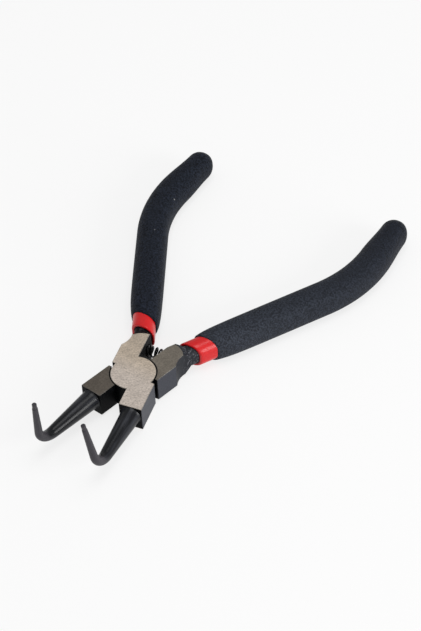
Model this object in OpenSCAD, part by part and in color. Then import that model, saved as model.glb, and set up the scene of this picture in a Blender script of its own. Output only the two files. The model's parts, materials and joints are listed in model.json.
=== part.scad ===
// Internal circlip pliers: two crossed levers in a lap joint, tapered jaws with bent tips,
// a countersunk rivet, a coil spring that opens the handles and double-dipped grips.
// Lever frame: pivot on Z, jaw towards -Y on the +X side, handle towards +Y on the -X side,
// handles closed, joint mid-plane at z = 0.

/* [Head] */
// Thickness of the head across its two ground faces
head_t = 10; // [9.4:0.1:13]
// Width of the head across the outer sides of its blocks
head_w = 18.6; // [18:0.1:20.4]
// Radius of the round lap-joint disc
disc_r = 8.35; // [7.4:0.05:8.6]
// Gap between the two levers' inner faces when the tips meet
face_gap = 0.9; // [0.6:0.1:1.2]
// Radial gap round the disc in the other lever
lap_clear = 0.4; // [0.3:0.05:0.7]
// Gap between the two half discs
lap_gap = 0.1; // [0.04:0.02:0.2]
// Distance from the pivot to the front face of the jaw block
jaw_block_len = 16.6; // [14:0.2:22]
// Distance from the pivot to the rear shoulder of the jaw block
jaw_shoulder = 3.3; // [3.2:0.1:4]
// Distance from the pivot to the front shoulder of the handle block
handle_shoulder = 3; // [2.9:0.1:4]
// Distance from the pivot to the outer rear corner of the handle block
handle_block_len = 12.6; // [11:0.1:13]
// Radius of the concave waist behind the handle block
waist_r = 8; // [7:0.5:12]
// Radius of the ground flat's rounded rear edge
flat_r = 7.8; // [7.6:0.1:9]
// Distance of the rear edge's centre from the middle of the tool
flat_x = 2; // [1.8:0.1:2.4]
// Angle at which the handle block's inner face leans, as it leaves the forging die
inner_draft = 7; // [3:0.5:8]
// Run of the forged slope behind the flat for each unit of drop
flat_run = 3.5; // [2:0.25:5]
// Radius of the forged neck at the handle's root
neck_r = 5.8; // [5.4:0.1:6.4]
// Radius that the neck loses for each unit of length
neck_fall = 0.78; // [0.6:0.02:1]

/* [Pivot] */
// Diameter of the rivet shank
rivet_d = 6; // [4.5:0.1:7]
// Diameter of the countersunk rivet heads
rivet_head_d = 8.4; // [7.8:0.1:10]
// Radial running clearance of the rivet in the lower lever
rivet_fit = 0.05; // [0.02:0.01:0.09]

/* [Jaws] */
// Diameter of the tapered jaw where it leaves the block
jaw_base_d = 7.5; // [6:0.1:8.2]
// Height of the jaw's middle above the joint's mid-plane
jaw_rise = 0.6; // [0:0.1:0.8]
// Length of the jaw from the block to the corner of the elbow
jaw_len = 26.9; // [18:0.1:34]
// Angle at which the jaw leans towards its partner
jaw_toe = 4.7; // [3.4:0.1:4.8]
// Diameter where the elbow starts
elbow_d = 4.6; // [3.6:0.1:5.4]
// Angle through which the tip is bent up
bend_angle = 84; // [60:1:90]
// Radius of the elbow's centreline
bend_r = 7.4; // [4:0.1:9]
// Angle at which the bend leans towards its partner
bend_lean = 6.2; // [4:0.1:6.4]
// Length of the bent tip from the corner of the elbow to its end
tip_len = 23.1; // [18:0.1:24]
// Diameter where the elbow runs out into the tip
tip_root_d = 2.9; // [2.4:0.1:3.4]
// Diameter of the bent tip at the shoulder of its pin
tip_d = 2; // [1.9:0.1:2.3]
// Diameter of the pin that enters the ring's hole
pin_d = 1.7; // [1.2:0.1:1.8]
// Length of the pin that enters the ring's hole
pin_len = 2.4; // [1.6:0.1:4]

/* [Handles] */
// Angle at which the handle leaves the head
handle_splay = 16.3; // [16:0.1:17]
// Distance of the handle's root from the middle of the tool
handle_x = 4.05; // [3.9:0.05:4.3]
// Distance of the handle's root behind the pivot
handle_y = 20; // [19.6:0.1:20.6]
// Width of the handle bar
handle_w = 6.6; // [6:0.1:6.8]
// Height of the handle bar
handle_h = 7.8; // [7:0.1:8.2]
// Radius of the handle bar's edges
handle_edge = 2.9; // [1:0.1:3]
// Length of the straight part of the handle
straight_len = 61.3; // [50:0.5:80]
// Radius of the bow near the end of the handle
bow_r = 55; // [45:1:80]
// Angle through which the bow turns the handle inwards
bow_angle = 31; // [24:1:34]
// Length of the handle bar beyond the bow
tail_len = 16.4; // [12:0.2:22]

/* [Grips] */
// Wall of the red inner sleeve
sleeve_wall = 1.1; // [0.8:0.05:1.2]
// Distance of the sleeve's front edge from the pivot with the handles open
sleeve_y = 22; // [21.8:0.1:24]
// Distance of the outer grip's front edge from the pivot with the handles open
grip_y = 27.9; // [26:0.1:31]
// Wall of the outer grip at its front edge
grip_lip = 0.5; // [0.4:0.05:0.9]
// Length over which the front edge swells
grip_swell = 4.5; // [3:0.1:8]
// Width of the outer grip in the hand
grip_w = 12.3; // [11.6:0.1:13.2]
// Height of the outer grip in the hand
grip_h = 12; // [11.6:0.1:14]
// Width of the outer grip before its rounded end
grip_end_w = 10.7; // [10.4:0.1:13]
// Length of the grip's rounded end
grip_round = 6.2; // [5:0.1:7]
// Length of the grip beyond the handle bar
grip_over = 6.5; // [5.6:0.1:8]

/* [Spring] */
// Diameter of the spring wire
wire_d = 0.7; // [0.5:0.05:0.8]
// Outer diameter of the coil
coil_d = 4.4; // [3.8:0.1:4.6]
// Number of turns
coil_turns = 9.5; // [6:0.5:9.5]
// Distance of the spring from the pivot
spring_y = 16.8; // [15:0.1:16.9]
// Diameter of the pockets that hold the spring's ends
pocket_d = 5; // [4.9:0.1:5.2]
// Depth of the pockets
pocket_depth = 3.2; // [2.4:0.1:3.6]
// Gap between the end of the spring and the pocket's floor
spring_seat = 0.1; // [0.05:0.05:0.3]

/* [Pose] */
// Angle of each lever from the closed pose
open_angle = 12.8; // [12:0.1:14]

/* [Hidden] */
$fn = 96;
half_t = head_t / 2;
half_w = head_w / 2;
half_gap = face_gap / 2;
past = 1;
far = 60;
rivet_sink = (rivet_head_d - rivet_d) / 2;

// Middle of the jaw block's front face
jaw_x = (half_w + half_gap) / 2;
elbow_start = jaw_len - bend_r * tan(bend_angle / 2);
jaw_taper = (jaw_base_d - elbow_d) / 2 / elbow_start;
tip_start = bend_r * tan(bend_angle / 2);
BEND_SIDES = 24;
BEND_RINGS = 13;
BEND_LAP = 0.3;
BEND_SINK = 0.03;

// Handle directions: along the bar, and out from the middle of the tool
along = [-sin(handle_splay), cos(handle_splay)];
outward = [-cos(handle_splay), -sin(handle_splay)];
root = [-handle_x, handle_y];
NECK_SINK = 0.06;
root_len = (neck_r - handle_h / 2) / neck_fall + NECK_SINK;
bow_len = bow_r * bow_angle * PI / 180;
bar_len = straight_len + bow_len + tail_len;
BOW_LAP = 0.4;
BOW_STEP = 0.02;

// The waist touches the bar's outer side and passes the block's outer rear corner
block_corner = [-half_w, handle_block_len];
waist_from = root + (handle_w / 2 + waist_r) * outward - block_corner;
waist_run = sqrt(pow(waist_from * along, 2) - waist_from * waist_from + waist_r * waist_r);
waist_at = waist_run - waist_from * along;
waist_c = root + waist_at * along + (handle_w / 2 + waist_r) * outward;
waist_touch = root + waist_at * along + handle_w / 2 * outward;

// Where the bar's inner side meets the block's inner face, half way up and at its innermost edge
inner_at = (half_gap - handle_x + handle_w / 2 * cos(handle_splay)) / sin(handle_splay);
draft_reach = half_t * tan(inner_draft);
inner_meet = root + (inner_at - draft_reach / sin(handle_splay)) * along - handle_w / 2 * outward;

// Where the open-pose dip lines cross the middle of the bar
dip_lean = handle_splay + open_angle;
root_open = handle_y * cos(open_angle) - handle_x * sin(open_angle);
grip_at = (grip_y - root_open) / cos(dip_lean);
sleeve_w = handle_w + 2 * sleeve_wall;
sleeve_h = handle_h + 2 * sleeve_wall;
grip_len = bar_len + grip_over;
level_len = straight_len - grip_at;
GRIP_SIDES = 24;
GRIP_POWER = 2.5;
GRIP_END_POWER = 2.2;
GRIP_LIP_RINGS = 6;
GRIP_LIP_LEN = 12;
GRIP_RINGS = 24;
GRIP_CAP_RINGS = 6;
GRIP_POINT = 0.08;

// The spring's centreline runs straight out of each pocket and bends between their mouths
mouth_x = half_gap * cos(open_angle) + spring_y * sin(open_angle);
mouth_y = spring_y * cos(open_angle) - half_gap * sin(open_angle);
arc_r = mouth_x / sin(open_angle);
arc_c = mouth_y - arc_r * cos(open_angle);
arc_len = 2 * arc_r * open_angle * PI / 180;
spring_len = arc_len + 2 * pocket_depth - 2 * spring_seat - wire_d;
helix_r = (coil_d - wire_d) / 2;
COIL_PHASE = 45;
WIRE_SIDES = 8;
TURN_STEPS = 16;

function smooth(t) = let (k = min(max(t, 0), 1)) k * k * (3 - 2 * k);
function signed_power(v, p) = sign(v) * pow(abs(v), p);

// Distance along the bar to a point and to the direction angle, in the bar's own frame
function bow_turn(s) = min(max((s - straight_len) / bow_len, 0), 1) * bow_angle;
function bar_point(s) = let (
    turn = bow_turn(s),
    first = min(s, straight_len),
    last = max(s - straight_len - bow_len, 0)
) [
    bow_r * (1 - cos(turn)) + last * sin(turn),
    first + bow_r * sin(turn) + last * cos(turn)
];

// Half sizes of the grip at a distance along the bar
function grip_cap(s) = let (t = (s - grip_len + grip_round) / grip_round)
    t <= 0 ? 1 : max(sqrt(1 - t * t), GRIP_POINT);
function grip_fill(s) = 1 - exp(-(s - grip_at) / grip_swell);
function grip_ease(s) = smooth((s - straight_len - bow_len) / tail_len);
function grip_half_w(s) = let (front = sleeve_w + 2 * grip_lip)
    grip_cap(s) * (front + (grip_w - front) * grip_fill(s) - (grip_w - grip_end_w) * grip_ease(s)) / 2;
function grip_half_h(s) = let (front = sleeve_h + 2 * grip_lip)
    grip_cap(s) * (front + (grip_h - front) * grip_fill(s)) / 2;

// Rings crowd together at the front edge and at the rounded end
function grip_station(i) = let (
    body_from = grip_at + GRIP_LIP_LEN,
    body_to = grip_len - grip_round,
    body = i - GRIP_LIP_RINGS,
    cap = body - GRIP_RINGS
) body <= 0 ? grip_at + GRIP_LIP_LEN * pow(i / GRIP_LIP_RINGS, 1.6)
    : cap <= 0 ? body_from + (body_to - body_from) * body / GRIP_RINGS
    : grip_len - grip_round * (1 - sin(90 * cap / GRIP_CAP_RINGS));

// The first ring lies on the dip line and the next ones turn square to the bar; the section
// grows rounder towards the end
function grip_ring(s) = let (
    c = bar_point(s),
    turn = bow_turn(s),
    shape = 2 / (GRIP_POWER + (GRIP_END_POWER - GRIP_POWER) * grip_ease(s)),
    lean = (1 - smooth((s - grip_at) / level_len)) * tan(dip_lean)
) [
    for (k = [0 : GRIP_SIDES - 1]) let (
        a = 360 * k / GRIP_SIDES,
        x = grip_half_w(s) * signed_power(cos(a), shape),
        z = grip_half_h(s) * signed_power(sin(a), shape)
    ) [c[0] + x * cos(turn), c[1] - x * (sin(turn) + lean), z]
];

// Rings of the elbow, from inside the end of the jaw to inside the start of the tip
function bend_ring(i) = let (
    part = min(max((i - 1) / (BEND_RINGS - 3), 0), 1),
    lap = i == 0 ? -BEND_LAP : i == BEND_RINGS - 1 ? BEND_LAP : 0,
    a = bend_angle * part,
    r = (elbow_d + (tip_root_d - elbow_d) * part) / 2 - BEND_SINK
) [
    for (k = [0 : BEND_SIDES - 1]) let (
        b = 360 * k / BEND_SIDES,
        x = bend_r - (bend_r - r * cos(b)) * cos(a) + lap * sin(a),
        z = elbow_start + (bend_r - r * cos(b)) * sin(a) + lap * cos(a)
    ) [x, r * sin(b), z]
];

// A closed tube through rings of points, each ring with the same number of sides
function tube_faces(rings, sides) = concat(
    [[for (k = [0 : sides - 1]) k]],
    [for (i = [0 : rings - 2], k = [0 : sides - 1]) let (n = (k + 1) % sides)
        [i * sides + k, (i + 1) * sides + k, i * sides + n]],
    [for (i = [0 : rings - 2], k = [0 : sides - 1]) let (n = (k + 1) % sides)
        [i * sides + n, (i + 1) * sides + k, (i + 1) * sides + n]],
    [[for (k = [sides - 1 : -1 : 0]) (rings - 1) * sides + k]]
);

// Spring centreline at a distance from its middle: point and turn angle in the head's plane
function spring_turn(s) = -min(max(s / arc_r, -open_angle * PI / 180), open_angle * PI / 180) * 180 / PI;
function spring_point(s) = let (
    turn = spring_turn(s),
    over = sign(s) * max(abs(s) - arc_len / 2, 0)
) [-arc_r * sin(turn) + over * cos(turn), arc_c + arc_r * cos(turn) + over * sin(turn)];

// Distance along the spring for a turn number, with one closed turn at each end
function coil_at(turn) = let (
    active = (spring_len - 2 * wire_d) / (coil_turns - 2),
    body = min(max(turn - 1, 0), coil_turns - 2)
) -spring_len / 2 + wire_d * min(turn, 1) + active * body + wire_d * max(turn - coil_turns + 1, 0);
function wire_middle(turn) = let (
    s = coil_at(turn),
    c = spring_point(s),
    lean = spring_turn(s),
    a = COIL_PHASE + 360 * turn
) [
    c[0] - helix_r * cos(a) * sin(lean),
    c[1] + helix_r * cos(a) * cos(lean),
    helix_r * sin(a)
];
function unit(v) = v / norm(v);
function wire_ring(turn) = let (
    step = 0.01,
    lean = spring_turn(coil_at(turn)),
    a = COIL_PHASE + 360 * turn,
    radial = [-cos(a) * sin(lean), cos(a) * cos(lean), sin(a)],
    run = unit(wire_middle(turn + step) - wire_middle(turn - step)),
    side = unit(cross(run, radial))
) [
    for (k = [0 : WIRE_SIDES - 1]) let (b = 360 * k / WIRE_SIDES)
        wire_middle(turn) + wire_d / 2 * (cos(b) * radial + sin(b) * side)
];

// Rectangle with rounded corners
module rounded(w, h, r) {
    square([w - 2 * r, h], center = true);
    square([w, h - 2 * r], center = true);
    for (x = [-1, 1], y = [-1, 1]) {
        translate([x * (w / 2 - r), y * (h / 2 - r)]) circle(r = r);
    }
}

// Carries the bar's own frame, root at the origin and bar along +Y, to the lever frame
module at_root() {
    translate([root[0], root[1], 0]) rotate([0, 0, handle_splay]) children();
}

// Sweeps a rounded section along the bar from a start to a length beyond the bow; the bow is
// a shade slimmer than the straight parts, which overlap its ends
module along_bar(from, tail, w, h, edge) {
    at_root() {
        translate([0, from, 0]) rotate([-90, 0, 0])
            linear_extrude(straight_len + BOW_LAP - from) rounded(w, h, edge);
        translate([bow_r, straight_len, 0]) rotate([0, 0, 180 - bow_angle])
            rotate_extrude(angle = bow_angle) translate([bow_r, 0])
            rounded(w - 2 * BOW_STEP, h - 2 * BOW_STEP, edge - BOW_STEP);
        translate([bow_r * (1 - cos(bow_angle)), straight_len + bow_r * sin(bow_angle), 0])
            rotate([0, 0, -bow_angle]) translate([0, -BOW_LAP, 0]) rotate([-90, 0, 0])
            linear_extrude(tail + BOW_LAP) rounded(w, h, edge);
    }
}

// The handle bar, or the bore that takes it
module bar(from) {
    along_bar(from, tail_len, handle_w, handle_h, handle_edge);
}

// The inner sleeve's outside, or the bore that takes it
module sleeve_body(from) {
    along_bar(from, tail_len + sleeve_wall, sleeve_w, sleeve_h, handle_edge + sleeve_wall);
}

// Everything in front of a dip line, which was level with the handles open
module before_dip(y) {
    rotate([0, 0, -open_angle]) translate([-far, y - far, -far / 2]) cube([2 * far, far, far]);
}

module jaw_block_outline() {
    polygon([
        [half_gap, -past],
        [half_gap, -jaw_block_len + (jaw_x - half_gap) * tan(jaw_toe)],
        [half_w, -jaw_block_len - (half_w - jaw_x) * tan(jaw_toe)],
        [half_w, -jaw_shoulder],
        [half_gap + past, -past]
    ]);
}

module handle_block_outline() {
    difference() {
        polygon([
            [draft_reach - half_gap, past],
            [-half_gap - past, past],
            [-half_w, handle_shoulder],
            block_corner,
            waist_touch,
            root + root_len * along + handle_w / 2 * outward,
            root + root_len * along - handle_w / 2 * outward,
            inner_meet
        ]);
        translate(waist_c) circle(r = waist_r);
    }
}

// Full height up to the block's rear corner, then slopes that fall away into the bar
module forged_fall() {
    translate([-far, handle_block_len - far, -half_t]) cube([2 * far, far, head_t]);
    intersection() {
        union() {
            for (side = [0, 1]) {
                mirror([0, 0, side]) translate([-flat_x, handle_block_len, 0])
                    cylinder(h = half_t, r1 = flat_r + half_t * flat_run, r2 = flat_r);
            }
        }
        at_root() translate([0, -handle_y, 0]) rotate([-90, 0, 0])
            cylinder(h = handle_y + root_len, r1 = neck_r + handle_y * neck_fall, r2 = neck_r - root_len * neck_fall);
    }
}

// Everything beyond the handle block's leaning inner face
module inner_side() {
    translate([-half_gap, 0, 0]) rotate([0, -inner_draft, 0]) translate([0, -far, -far / 2])
        cube([far, 2 * far, far]);
}

module handle_block() {
    difference() {
        intersection() {
            translate([0, 0, -half_t]) linear_extrude(head_t) handle_block_outline();
            forged_fall();
        }
        inner_side();
    }
}

// Tapered jaw, elbow, bent tip and pin; the tip rises for side = 1 and falls for side = -1
module jaw(side) {
    lean = side > 0 ? bend_lean : 180 - bend_lean;
    cone_len = tip_len - tip_start - pin_len;
    points = [for (i = [0 : BEND_RINGS - 1]) each bend_ring(i)];
    translate([jaw_x, -jaw_block_len, side * jaw_rise]) rotate([0, 0, -jaw_toe]) rotate([90, 0, 0])
    rotate([0, 0, 90 + lean]) {
        translate([0, 0, -past])
            cylinder(h = elbow_start + past, r1 = jaw_base_d / 2 + jaw_taper * past, r2 = elbow_d / 2);
        polyhedron(points, tube_faces(BEND_RINGS, BEND_SIDES));
        translate([bend_r * (1 - cos(bend_angle)), 0, elbow_start + bend_r * sin(bend_angle)])
        rotate([0, bend_angle, 0]) {
            cylinder(h = cone_len, d1 = tip_root_d, d2 = tip_d);
            translate([0, 0, cone_len]) cylinder(h = pin_len, d = pin_d);
        }
    }
}

// Body of the rivet, or the hole that takes it with a clearance
module rivet_body(clear) {
    head = rivet_head_d / 2 + clear;
    shank = rivet_d / 2 + clear;
    deep = half_t - rivet_sink;
    rotate_extrude() polygon([
        [0, -half_t], [head, -half_t], [shank, -deep], [shank, deep], [head, half_t], [0, half_t]
    ]);
}

// One forged lever with its disc in the upper half of the joint
module lever(side, clear) {
    difference() {
        union() {
            difference() {
                union() {
                    translate([0, 0, -half_t]) linear_extrude(head_t) jaw_block_outline();
                    handle_block();
                }
                translate([0, 0, -half_t - past])
                    cylinder(h = half_t + past + lap_gap / 2, r = disc_r + lap_clear);
            }
            translate([0, 0, lap_gap / 2]) cylinder(h = half_t - lap_gap / 2, r = disc_r);
            jaw(side);
            bar(inner_at);
        }
        rivet_body(clear);
        translate([-half_gap - pocket_depth, spring_y, 0]) rotate([0, 90, 0])
            cylinder(h = pocket_depth + past, d = pocket_d);
    }
}

module sleeve() {
    difference() {
        sleeve_body(inner_at);
        bar(inner_at - past);
        handle_block();
        before_dip(sleeve_y);
    }
}

module grip() {
    rings = GRIP_LIP_RINGS + GRIP_RINGS + GRIP_CAP_RINGS + 1;
    points = [for (i = [0 : rings - 1]) each grip_ring(grip_station(i))];
    difference() {
        at_root() polyhedron(points, tube_faces(rings, GRIP_SIDES));
        sleeve_body(inner_at - past);
    }
}

// Lever frame to the open pose: the upper lever as drawn, the lower one turned over
module place_upper() {
    translate([0, 0, half_t]) rotate([0, 0, open_angle]) children();
}

module place_lower() {
    translate([0, 0, half_t]) rotate([0, 0, -open_angle]) rotate([0, 180, 0]) children();
}

module upper_lever() {
    color([0.42, 0.40, 0.39]) place_upper() lever(1, 0);
}

module lower_lever() {
    color([0.30, 0.29, 0.29]) place_lower() lever(-1, rivet_fit);
}

module pivot_rivet() {
    color([0.60, 0.58, 0.55]) place_upper() rivet_body(0);
}

module return_spring() {
    rings = coil_turns * TURN_STEPS + 1;
    points = [for (i = [0 : rings - 1]) each wire_ring(i / TURN_STEPS)];
    color([0.10, 0.10, 0.11]) translate([0, 0, half_t])
        polyhedron(points, tube_faces(rings, WIRE_SIDES));
}

module left_inner_sleeve() {
    color([0.75, 0.06, 0.07]) place_upper() sleeve();
}

module right_inner_sleeve() {
    color([0.75, 0.06, 0.07]) place_lower() sleeve();
}

module left_outer_grip() {
    color([0.05, 0.05, 0.06]) place_upper() grip();
}

module right_outer_grip() {
    color([0.05, 0.05, 0.06]) place_lower() grip();
}

upper_lever();
lower_lever();
pivot_rivet();
return_spring();
left_inner_sleeve();
right_inner_sleeve();
left_outer_grip();
right_outer_grip();
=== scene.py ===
"""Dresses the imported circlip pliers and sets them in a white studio.

The levers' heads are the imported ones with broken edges. Jaws, dips and spring are surfaces worked out with
numpy, in millimetres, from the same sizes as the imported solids.
"""

import json
import logging
import math
from dataclasses import dataclass, field
from enum import Enum
from typing import Any, Union

import bmesh
import bpy
import numpy as np
from mathutils import Matrix, Vector

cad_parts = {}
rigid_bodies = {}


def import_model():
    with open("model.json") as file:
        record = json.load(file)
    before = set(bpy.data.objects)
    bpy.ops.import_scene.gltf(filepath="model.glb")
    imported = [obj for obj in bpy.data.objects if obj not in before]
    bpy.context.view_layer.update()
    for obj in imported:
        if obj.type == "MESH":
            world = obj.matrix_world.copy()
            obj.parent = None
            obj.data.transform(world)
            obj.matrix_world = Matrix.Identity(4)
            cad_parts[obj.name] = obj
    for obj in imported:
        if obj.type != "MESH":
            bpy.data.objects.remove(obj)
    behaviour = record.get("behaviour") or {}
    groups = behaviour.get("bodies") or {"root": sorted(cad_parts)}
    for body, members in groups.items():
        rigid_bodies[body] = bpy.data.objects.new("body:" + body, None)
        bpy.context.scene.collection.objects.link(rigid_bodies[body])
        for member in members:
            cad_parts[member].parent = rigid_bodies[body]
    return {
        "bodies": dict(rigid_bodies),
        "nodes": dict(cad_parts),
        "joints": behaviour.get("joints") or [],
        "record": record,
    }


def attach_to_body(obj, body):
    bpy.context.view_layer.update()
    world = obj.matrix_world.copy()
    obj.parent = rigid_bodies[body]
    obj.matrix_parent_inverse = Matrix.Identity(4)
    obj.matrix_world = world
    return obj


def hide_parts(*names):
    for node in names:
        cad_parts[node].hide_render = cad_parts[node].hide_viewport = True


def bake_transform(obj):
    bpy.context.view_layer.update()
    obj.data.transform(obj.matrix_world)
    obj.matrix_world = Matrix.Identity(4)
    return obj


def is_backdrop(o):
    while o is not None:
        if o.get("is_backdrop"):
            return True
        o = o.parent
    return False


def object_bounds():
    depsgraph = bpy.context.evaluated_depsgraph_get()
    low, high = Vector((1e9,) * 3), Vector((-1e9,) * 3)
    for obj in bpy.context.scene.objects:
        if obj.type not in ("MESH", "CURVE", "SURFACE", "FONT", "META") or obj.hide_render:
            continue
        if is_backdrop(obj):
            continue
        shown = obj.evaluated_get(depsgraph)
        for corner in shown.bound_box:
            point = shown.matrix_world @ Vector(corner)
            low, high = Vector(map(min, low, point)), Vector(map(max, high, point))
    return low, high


LOG = logging.getLogger("pliers")
MM = 0.001

# Sizes that several pieces share: degrees that each lever is open by, half the head's thickness, where a jaw
# leaves its block and the degrees that it turns inwards there.
OPEN_ANGLE = 12.8
HALF_HEAD = 5.0
JAW_ROOT = (4.875, -16.6)
JAW_TOE = 4.7

# Square metres below which a face is no more than a line.
SLIVER = 1e-13

WHITE = (1.0, 1.0, 1.0, 1.0)

Display = tuple[float, float, float]
Point = tuple[float, float, float]
Span = tuple[float, float]
Input = Union["Wire", float, tuple]


def linear(display: Display, gain: float = 1.0) -> tuple[float, float, float, float]:
    """Turns a display colour into the linear colour that a socket holds.

    Args:
        display: Red, green and blue from 0 to 255, as a screen shows them.
        gain: Factor on the linear colour.

    Returns:
        Linear red, green, blue and an alpha of 1.
    """
    part = np.asarray(display, float) / 255
    straight = np.where(part <= 0.04045, part / 12.92, ((part + 0.055) / 1.055) ** 2.4)
    return (*np.clip(straight * gain, 0, 1).tolist(), 1.0)


def circle(sides: int) -> np.ndarray:
    """Returns the angles of evenly spaced points round a circle."""
    return np.linspace(0, 2 * math.pi, sides, endpoint=False)


def ease(share: np.ndarray) -> np.ndarray:
    """Returns the smooth step 3 s^2 - 2 s^3 of a share between 0 and 1."""
    return share**2 * (3 - 2 * share)


class Wire:
    """One node output; arithmetic on wires and numbers adds Math nodes to their board."""

    def __init__(self, board: "Board", socket: bpy.types.NodeSocket) -> None:
        """Keeps the socket and the board that it is drawn on."""
        self.board = board
        self.socket = socket

    def math(self, operation: str, *values: Input) -> "Wire":
        """Adds one Math node with an operation and its inputs in order, and returns its result."""
        return self.board.node("ShaderNodeMath", {"operation": operation}, dict(enumerate(values)))

    def __add__(self, other: Input) -> "Wire":
        """Adds a value."""
        return self.math("ADD", self, other)

    __radd__ = __add__

    def __sub__(self, other: Input) -> "Wire":
        """Takes a value away."""
        return self.math("SUBTRACT", self, other)

    def __rsub__(self, other: Input) -> "Wire":
        """Takes this wire away from a value."""
        return self.math("SUBTRACT", other, self)

    def __mul__(self, other: Input) -> "Wire":
        """Multiplies by a value."""
        return self.math("MULTIPLY", self, other)

    __rmul__ = __mul__

    def most(self, other: Input) -> "Wire":
        """Returns the larger of two values."""
        return self.math("MAXIMUM", self, other)

    def step(self, low: float, high: float) -> "Wire":
        """Rises smoothly from 0 at low to 1 at high, or falls where low is the larger."""
        span = {0: self, 1: low, 2: high, 3: 0.0, 4: 1.0}
        return self.board.node("ShaderNodeMapRange", {"interpolation_type": "SMOOTHSTEP"}, span)


class Board:
    """The node tree of one material or world."""

    def __init__(self, tree: bpy.types.NodeTree) -> None:
        """Starts from an empty tree."""
        self.tree = tree
        tree.nodes.clear()

    def node(
        self,
        kind: str,
        settings: dict[str, Any] | None = None,
        sockets: dict[int | str, Input] | None = None,
        out: int | str = 0,
    ) -> Wire | None:
        """Adds a node of any type.

        Args:
            kind: The node's type.
            settings: Its options, set before its sockets.
            sockets: Its inputs by name or number, each a wire or a value.
            out: Name or number of the output to return.

        Returns:
            The chosen output, or None for a node without outputs.
        """
        made = self.tree.nodes.new(kind)
        for option, value in (settings or {}).items():
            setattr(made, option, value)
        for key, value in (sockets or {}).items():
            if isinstance(value, Wire):
                self.tree.links.new(value.socket, made.inputs[key])
            else:
                made.inputs[key].default_value = value
        return Wire(self, made.outputs[out]) if len(made.outputs) else None

    def place(self, scale: Point = (1.0, 1.0, 1.0), turn: float = 0.0) -> Wire:
        """Returns the piece's own coordinates.

        Args:
            scale: Factor along each axis, after the turn.
            turn: Degrees about the pivot.

        Returns:
            The turned and scaled place.
        """
        own = self.node("ShaderNodeTexCoord", out="Object")
        if turn:
            about = (0.0, 0.0, math.radians(turn))
            own = self.node("ShaderNodeMapping", None, {"Vector": own, "Rotation": about})
        return self.node("ShaderNodeMapping", None, {"Vector": own, "Scale": scale})

    def part(self, vector: Wire, axis: str) -> Wire:
        """Returns one axis of a vector."""
        return self.node("ShaderNodeSeparateXYZ", None, {0: vector}, axis)

    def carried(self, name: str, out: str = "Fac") -> Wire:
        """Returns an attribute that the mesh carries."""
        return self.node("ShaderNodeAttribute", {"attribute_name": name}, None, out)

    def noise(self, place: Wire, scale: float, detail: float = 3.0) -> Wire:
        """Returns a noise value round 0.5, with scale in waves for each metre."""
        return self.node("ShaderNodeTexNoise", None, {"Vector": place, "Scale": scale, "Detail": detail})

    def mix(self, share: Input, first: Input, second: Input) -> Wire:
        """Mixes two colours."""
        return self.node("ShaderNodeMix", {"data_type": "RGBA"}, {0: share, 6: first, 7: second}, 2)

    def shades(self, share: Input, tone: Display, low: float, high: float) -> Wire:
        """Mixes two gains of one colour."""
        return self.mix(share, linear(tone, low), linear(tone, high))

    def bump(self, height: Wire, depth: float, strength: float) -> Wire:
        """Returns a normal from a height between 0 and 1, with its depth in metres."""
        return self.node("ShaderNodeBump", None, {"Strength": strength, "Distance": depth, "Height": height})

    def surface(self, **sockets: Input) -> Wire:
        """Adds a Principled shader.

        Args:
            **sockets: Its inputs, named in lower case and underscores.

        Returns:
            The shader.
        """
        names = {"specular": "Specular IOR Level"}
        filled = {names.get(key, key.replace("_", " ").title()): value for key, value in sockets.items()}
        return self.node("ShaderNodeBsdfPrincipled", None, filled)


@dataclass(frozen=True)
class Finish:
    """A surface finish, drawn once as a material and shared by the pieces that use it.

    Colours are display colours, and the sizes of noises are in waves for each metre.
    """

    name: str

    def material(self) -> bpy.types.Material:
        """Draws the finish at its first use.

        Returns:
            The finish's material.
        """
        found = bpy.data.materials.get(self.name)
        if found is None:
            found = bpy.data.materials.new(self.name)
            found.use_nodes = True
            board = Board(found.node_tree)
            board.node("ShaderNodeOutputMaterial", None, {"Surface": self.draw(board)})
        return found

    def draw(self, board: Board) -> Wire:
        """Draws the finish's nodes on a board and returns its shader."""
        raise NotImplementedError


@dataclass(frozen=True)
class GroundSteel(Finish):
    """Steel ground flat: fine grinding lines, soft blotches and small dark pits.

    The tone changes to that of the rear over a span of the tool's length, as painted light and shade along
    the tool: on the lower lever's flat and rim it is darker towards the jaw and lighter towards the handle.
    The gains give dark grain, light grain and pits from the tone.
    """

    tone: Display = (209, 198, 188)
    rear: Display = (204, 190, 173)
    rear_span: Span = (-0.004, 0.008)
    gains: tuple[float, float, float] = (0.77, 1.19, 0.4)
    line_turn: float = 60.0
    line_waves: Point = (4200.0, 260.0, 900.0)
    blotch_waves: float = 330.0
    grit_waves: float = 1500.0
    pits: float = 0.38
    gloss: float = 0.5
    relief: float = 0.00003

    def draw(self, board: Board) -> Wire:
        """Draws grinding lines as noise stretched one way, and pits as the low spots of another noise.

        Args:
            board: The material's nodes.

        Returns:
            The shader.
        """
        lines = board.noise(board.place(self.line_waves, self.line_turn), 1.0)
        blotch = board.noise(board.place(), self.blotch_waves)
        grit = board.noise(board.place(), self.grit_waves)
        pit = grit.step(self.pits, self.pits - 0.1)
        tint = (lines * 0.35 + blotch * 0.2 + grit * 0.45).step(0.36, 0.64)
        # painted light and shade: the tone shifts to the rear one along the tool's length
        back = board.part(board.place(), "Y").step(*self.rear_span)
        low, high, dark = (board.mix(back, linear(self.tone, k), linear(self.rear, k)) for k in self.gains)
        return board.surface(
            base_color=board.mix(pit * 0.55, board.mix(tint, low, high), dark),
            metallic=0.85,
            roughness=self.gloss + 0.12 * lines + 0.1 * pit,
            normal=board.bump(lines * 0.6 + grit * 0.4, self.relief, 0.35),
        )


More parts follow.
